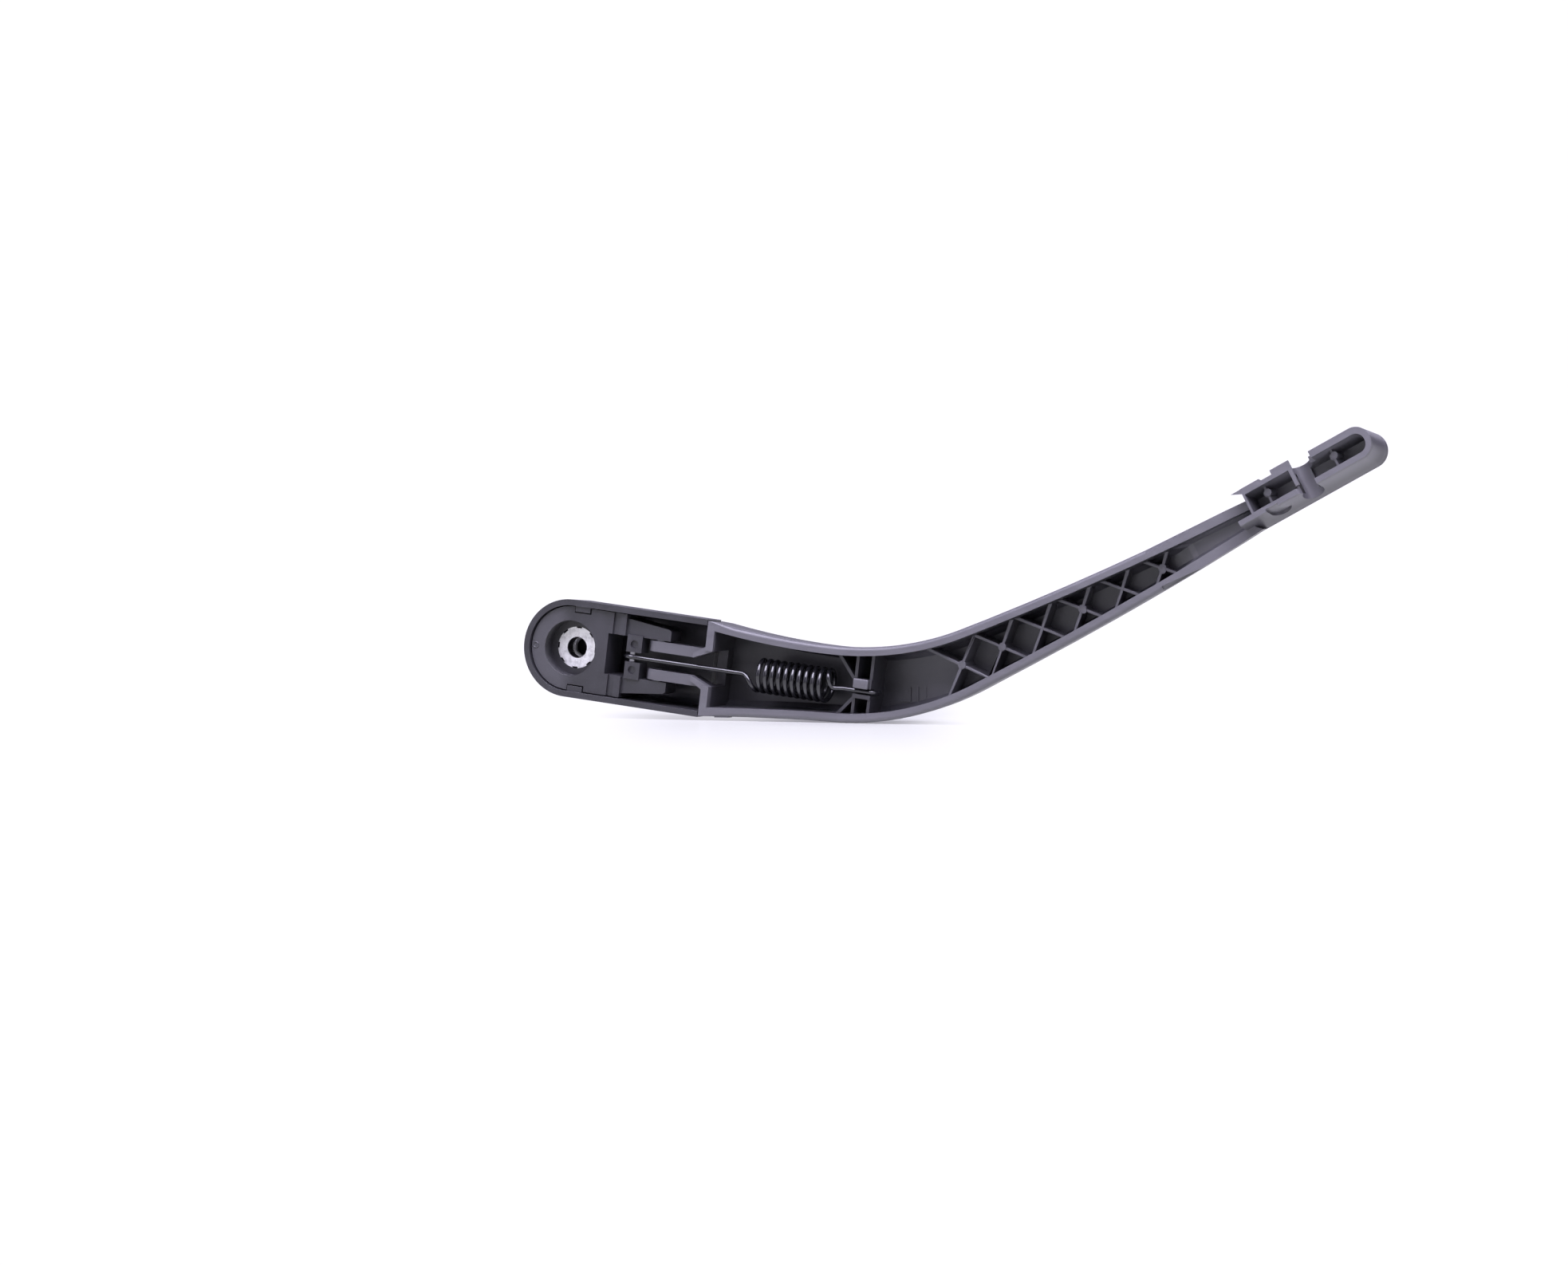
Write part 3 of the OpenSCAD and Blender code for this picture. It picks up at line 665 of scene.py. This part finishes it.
def pit_ring():
    """Places on the ring round the small pit in the head's plate, a little past a full turn."""
    pit_x, pit_y, pit_z, radius, steps = -14.3, -6.75, 1.1, 1.05, 24
    ring = []
    for step in range(steps + 2):
        turn = step * math.tau / steps
        place = Vector((pit_x + radius * math.cos(turn), pit_y, pit_z + radius * math.sin(turn)))
        ring.append(place * MM)
    return ring


def spline_sleeve(count, height):
    """A thin sleeve for the insert's bore, with this many teeth inside it."""
    points = 4 * count
    bm = bmesh.new()
    bmesh.ops.create_circle(bm, cap_ends=False, segments=points, radius=BORE_RADIUS + 0.05 * MM)
    inner = bmesh.ops.create_circle(bm, cap_ends=False, segments=points, radius=BORE_RADIUS)["verts"]
    for i, vert in enumerate(inner):
        lift = height if i % 4 in (1, 2) else 0.02 * MM
        vert.co *= (BORE_RADIUS - lift) / BORE_RADIUS
    bmesh.ops.bridge_loops(bm, edges=list(bm.edges))
    grown = bmesh.ops.extrude_face_region(bm, geom=list(bm.faces))["geom"]
    far_end = [g for g in grown if isinstance(g, bmesh.types.BMVert)]
    bmesh.ops.translate(bm, verts=far_end, vec=(0.0, 0.0, SPLINE_LENGTH))
    bmesh.ops.rotate(bm, verts=bm.verts, matrix=Matrix.Rotation(math.radians(-90), 3, "X"))
    bmesh.ops.translate(bm, verts=bm.verts, vec=(0.0, SPLINE_START, 0.0))
    bmesh.ops.recalc_face_normals(bm, faces=bm.faces)
    smooth_by_angle(bm, 35.0)
    return bm


# The spring's path, in millimetres along, into and across the head


def arc(x, depth, radius, degrees):
    """Places on an arc round a middle, from the glass side at 0 degrees."""
    places = []
    for angle in map(math.radians, degrees):
        places.append(Vector((x + radius * math.sin(angle), depth - radius * math.cos(angle), 0)))
    return places


def bend(start, start_pull, end, end_pull, steps=10):
    """Places along a smooth bend between two ends, each with its own direction."""
    places = []
    for i in range(1, steps):
        t = i / steps
        u = 1.0 - t
        places.append(
            start * (u * u * u)
            + (start + start_pull) * (3 * u * u * t)
            + (end - end_pull) * (3 * u * t * t)
            + end * (t * t * t)
        )
    return places


def spring_path(wire):
    """Places in the frame along the tension spring, whose wire's diameter is given in millimetres."""
    pin_x, pin_depth, pin_diameter, pin_gap = 25.0, 4.9, 2.6, 0.15
    leg_past_pin, leg_before_coil, leg_drop, leg_parts = 1.5, 5.5, 0.8, 8
    coil_x, coil_length, coil_depth, coil_radius = 76.6, 29.7, 7.3, (13.6 - wire) / 2
    # Degrees of the coil's turns, and how strongly its ends lead into their bends
    first, last, step = 60, 3900, 10
    lead_along, lead_round = 1.2, 0.7
    far_leg_past_coil, far_leg_across, far_leg_straight = 3, -0.4, 4
    hook_x, hook_depth, hook_gap, hook_radius, hook_ends = 124.6, 4.2, 0.3, 2, (3.6, 5.2)

    def coil(degrees):
        angle = math.radians(degrees)
        along = coil_x + (degrees - first) / (last - first) * coil_length
        return Vector((along, coil_depth - coil_radius * math.cos(angle), -coil_radius * math.sin(angle)))

    def coil_pull(degrees):
        angle = math.radians(degrees)
        sine, cosine = math.sin(angle), math.cos(angle)
        return Vector((lead_along, coil_radius * sine * lead_round, -coil_radius * cosine * lead_round))

    reach = pin_diameter / 2 + wire / 2 + pin_gap
    near_hook = arc(pin_x, pin_depth, reach, range(-160, 21, 10))
    leg_start = Vector((pin_x + leg_past_pin, pin_depth - reach, 0))
    leg_end = Vector((coil_x - leg_before_coil, pin_depth - reach + leg_drop, 0))
    leg = [leg_start.lerp(leg_end, i / leg_parts) for i in range(leg_parts + 1)]

    windings = [coil(degrees) for degrees in range(first, last + 1, step)]

    far_start = Vector((coil_x + coil_length + far_leg_past_coil, hook_depth, far_leg_across))
    far_x = hook_x + wire / 2 + hook_gap
    straight = (far_start.x + far_leg_straight, far_x - far_leg_straight)
    far_leg = [far_start] + [Vector((x, hook_depth, 0)) for x in straight]
    far_hook = arc(far_x - hook_radius, hook_depth + hook_radius, hook_radius, range(0, 91, 15))
    far_end = [Vector((far_x, hook_depth + past, 0)) for past in hook_ends]

    path = near_hook + leg
    path += bend(leg_end, Vector((3, 0, 0)), windings[0], coil_pull(first))
    path += windings
    path += bend(windings[-1], coil_pull(last), far_start, Vector((2, 0, 0)))
    path += far_leg + far_hook + far_end
    return [head_place(*place) for place in path]


# Pieces


class WIPER_OT_head(bpy.types.Operator):
    """Dress the mounting head"""

    bl_idname = "wiper.head"
    bl_label = "Mounting head"

    def execute(self, context):
        sizes, finishes = context.scene.wiper_sizes, context.scene.wiper_finishes
        bm = merged_copy("head")
        round_edges(bm, sizes.edge)
        plastic = head_plastic(finishes.plastic, finishes.rim)
        weighted(finished("head_moulding", bm, plastic, "mounting_head", ["head"]))
        return {"FINISHED"}


class WIPER_OT_hub(bpy.types.Operator):
    """Dress the hub insert and line its bore with splines"""

    bl_idname = "wiper.hub"
    bl_label = "Hub insert"

    def execute(self, context):
        sizes, finishes = context.scene.wiper_sizes, context.scene.wiper_finishes
        bm = merged_copy("hub_insert")
        round_edges(bm, width=0.25 * MM)
        metal = cast_metal("Bright cast metal", finishes.cast_metal)
        weighted(finished("hub_insert_casting", bm, metal, "mounting_head", ["hub_insert"]))

        bm = spline_sleeve(sizes.splines, sizes.spline_depth)
        # The splines are coloured a quarter as bright as the pins' steel, as painted shade inside the bore
        steel = ground_steel("Dark splined steel", tone(finishes.steel, 0.25), (1.0, 0.1, 1.0))
        finished("spindle_splines", bm, steel, "mounting_head")
        return {"FINISHED"}


class WIPER_OT_cover(bpy.types.Operator):
    """Dress the cover"""

    bl_idname = "wiper.cover"
    bl_label = "Cover"

    def execute(self, context):
        sizes, finishes = context.scene.wiper_sizes, context.scene.wiper_finishes
        bm = merged_copy("cover_cap")
        round_edges(bm, sizes.edge * 1.5)
        plastic = cover_plastic(finishes.plastic)
        weighted(finished("cover_moulding", bm, plastic, "cover", ["cover_cap"]))
        return {"FINISHED"}


class WIPER_OT_pins(bpy.types.Operator):
    """Dress the hinge pins and the spring pin"""

    bl_idname = "wiper.pins"
    bl_label = "Pins"

    def execute(self, context):
        steel = ground_steel("Ground steel", context.scene.wiper_finishes.steel, (0.1, 1.0, 1.0))
        for node, name in (("hinge_pins", "hinge_pins_ground"), ("spring_pin", "spring_pin_ground")):
            bm = merged_copy(node)
            round_edges(bm, width=0.2 * MM)
            weighted(finished(name, bm, steel, "mounting_head", [node]))
        return {"FINISHED"}


class WIPER_OT_spring(bpy.types.Operator):
    """Wind the tension spring"""

    bl_idname = "wiper.spring"
    bl_label = "Tension spring"

    def execute(self, context):
        sizes, finishes = context.scene.wiper_sizes, context.scene.wiper_finishes
        bm = tube(spring_path(sizes.wire / MM), sizes.wire / 2)
        coat = coated_wire("Gloss black spring wire", finishes.wire)
        finished("tension_spring_wire", bm, coat, "spring", ["tension_spring"])
        return {"FINISHED"}


class WIPER_OT_arm(bpy.types.Operator):
    """Dress the arm moulding"""

    bl_idname = "wiper.arm"
    bl_label = "Arm"

    def execute(self, context):
        sizes, finishes = context.scene.wiper_sizes, context.scene.wiper_finishes
        bm = merged_copy("arm")
        round_outer_rim(bm, width=1.7 * MM)
        round_ribs(bm, width=0.42 * MM)
        round_edges(bm, sizes.edge, angle=38.0)
        plastic = arm_plastic(finishes.plastic, finishes.rim)
        weighted(finished("arm_moulding", bm, plastic, "wiper_arm", ["arm"]))
        return {"FINISHED"}


class WIPER_OT_marks(bpy.types.Operator):
    """Add the small moulded marks of the arm and the head, whose finishes are made before"""

    bl_idname = "wiper.marks"
    bl_label = "Moulded marks"

    def execute(self, context):
        bm = bmesh.new()
        block(bm, *HOOK_CAP, head_turn())
        round_edges(bm, width=0.45 * MM)
        for low, high in (SEAM_FOOT, *TOOL_MARKS):
            block(bm, low, high)
        for place, radius in BOSSES:
            boss(bm, place, radius)
        smooth_by_angle(bm, 35.0)
        finished("arm_marks", bm, bpy.data.materials[ARM_PLASTIC], "wiper_arm")

        bm = tube(pit_ring(), radius=0.24 * MM, sides=8)
        finished("head_mark", bm, bpy.data.materials[HEAD_PLASTIC], "mounting_head")
        return {"FINISHED"}


# Studio


def add_floor(scene):
    low = CAD_BOX[0][2]
    bm = bmesh.new()
    bmesh.ops.create_grid(bm, x_segments=1, y_segments=1, size=FLOOR_SIZE)
    bmesh.ops.translate(bm, verts=bm.verts, vec=(*FLOOR_MIDDLE, low - 0.02 * MM))
    mesh = bpy.data.meshes.new("studio_floor")
    bm.to_mesh(mesh)
    bm.free()
    mesh.materials.append(studio_floor("White studio table", scene.wiper_finishes.floor))
    floor = bpy.data.objects.new("studio_floor", mesh)
    scene.collection.objects.link(floor)


def add_lamps(scene):
    for name, place, width, height, power in LAMPS:
        light = bpy.data.lights.new(name, "AREA")
        light.shape = "RECTANGLE"
        light.size, light.size_y = width, height
        light.energy = power
        light.color = TINT
        lamp = bpy.data.objects.new(name, light)
        lamp.location = place
        lamp.rotation_euler = (LAMPS_AIM - Vector(place)).to_track_quat("-Z", "Y").to_euler()
        scene.collection.objects.link(lamp)


def add_camera(scene):
    """A camera at the photograph's viewing angle, with the hub at its own pixel in the frame."""
    flat = math.cos(CAMERA_ELEVATION)
    ahead = Vector(
        (
            -math.sin(CAMERA_AZIMUTH) * flat,
            math.cos(CAMERA_AZIMUTH) * flat,
            -math.sin(CAMERA_ELEVATION),
        )
    )
    right = Vector((math.cos(CAMERA_AZIMUTH), math.sin(CAMERA_AZIMUTH), 0.0))
    up = right.cross(ahead)
    hub_right = (HUB_PX_X - PHOTO_WIDTH / 2) / FOCAL_PX
    hub_down = (HUB_PX_Y - PHOTO_HEIGHT / 2) / FOCAL_PX
    to_hub = (ahead + right * hub_right - up * hub_down) * CAMERA_FAR
    camera = bpy.data.objects.new("Camera", bpy.data.cameras.new("Camera"))
    camera.data.sensor_fit = "HORIZONTAL"
    camera.data.sensor_width = SENSOR_WIDTH
    camera.data.lens = SENSOR_WIDTH * FOCAL_PX / PHOTO_WIDTH
    camera.data.clip_end = 60.0
    turn = Matrix((right, up, -ahead)).transposed().to_4x4()
    camera.matrix_world = Matrix.Translation(Vector((0.0, RIM_Y, 0.0)) - to_hub) @ turn
    scene.collection.objects.link(camera)
    scene.camera = camera


class WIPER_OT_studio(bpy.types.Operator):
    """Set up the white studio, its lamps and the camera"""

    bl_idname = "wiper.studio"
    bl_label = "Studio"

    def execute(self, context):
        scene = context.scene
        add_floor(scene)
        scene.world = studio_world("Studio world")
        add_lamps(scene)
        add_camera(scene)
        scene.view_settings.view_transform = "Standard"
        return {"FINISHED"}


class WIPER_PT_panel(bpy.types.Panel):
    """Sizes, finishes and pieces of the wiper arm"""

    bl_idname = "WIPER_PT_panel"
    bl_label = "Wiper Arm"
    bl_space_type = "VIEW_3D"
    bl_region_type = "UI"
    bl_category = "Wiper Arm"

    def draw(self, context):
        layout = self.layout
        for group in (context.scene.wiper_sizes, context.scene.wiper_finishes):
            for name in group.bl_rna.properties.keys():
                if name not in ("rna_type", "name"):
                    layout.prop(group, name)
        for operator in OPERATORS:
            layout.operator(operator.bl_idname)


OPERATORS = (
    WIPER_OT_head,
    WIPER_OT_hub,
    WIPER_OT_cover,
    WIPER_OT_pins,
    WIPER_OT_spring,
    WIPER_OT_arm,
    WIPER_OT_marks,
    WIPER_OT_studio,
)
CLASSES = (WiperSizes, WiperFinishes, *OPERATORS, WIPER_PT_panel)


def register():
    for cls in CLASSES:
        bpy.utils.register_class(cls)
    bpy.types.Scene.wiper_sizes = bpy.props.PointerProperty(type=WiperSizes)
    bpy.types.Scene.wiper_finishes = bpy.props.PointerProperty(type=WiperFinishes)


def unregister():
    del bpy.types.Scene.wiper_finishes
    del bpy.types.Scene.wiper_sizes
    for cls in reversed(CLASSES):
        bpy.utils.unregister_class(cls)


def main():
    register()
    bpy.ops.wiper.head()
    bpy.ops.wiper.hub()
    bpy.ops.wiper.cover()
    bpy.ops.wiper.pins()
    bpy.ops.wiper.spring()
    bpy.ops.wiper.arm()
    bpy.ops.wiper.marks()
    bpy.ops.wiper.studio()


if __name__ == "__main__":
    main()
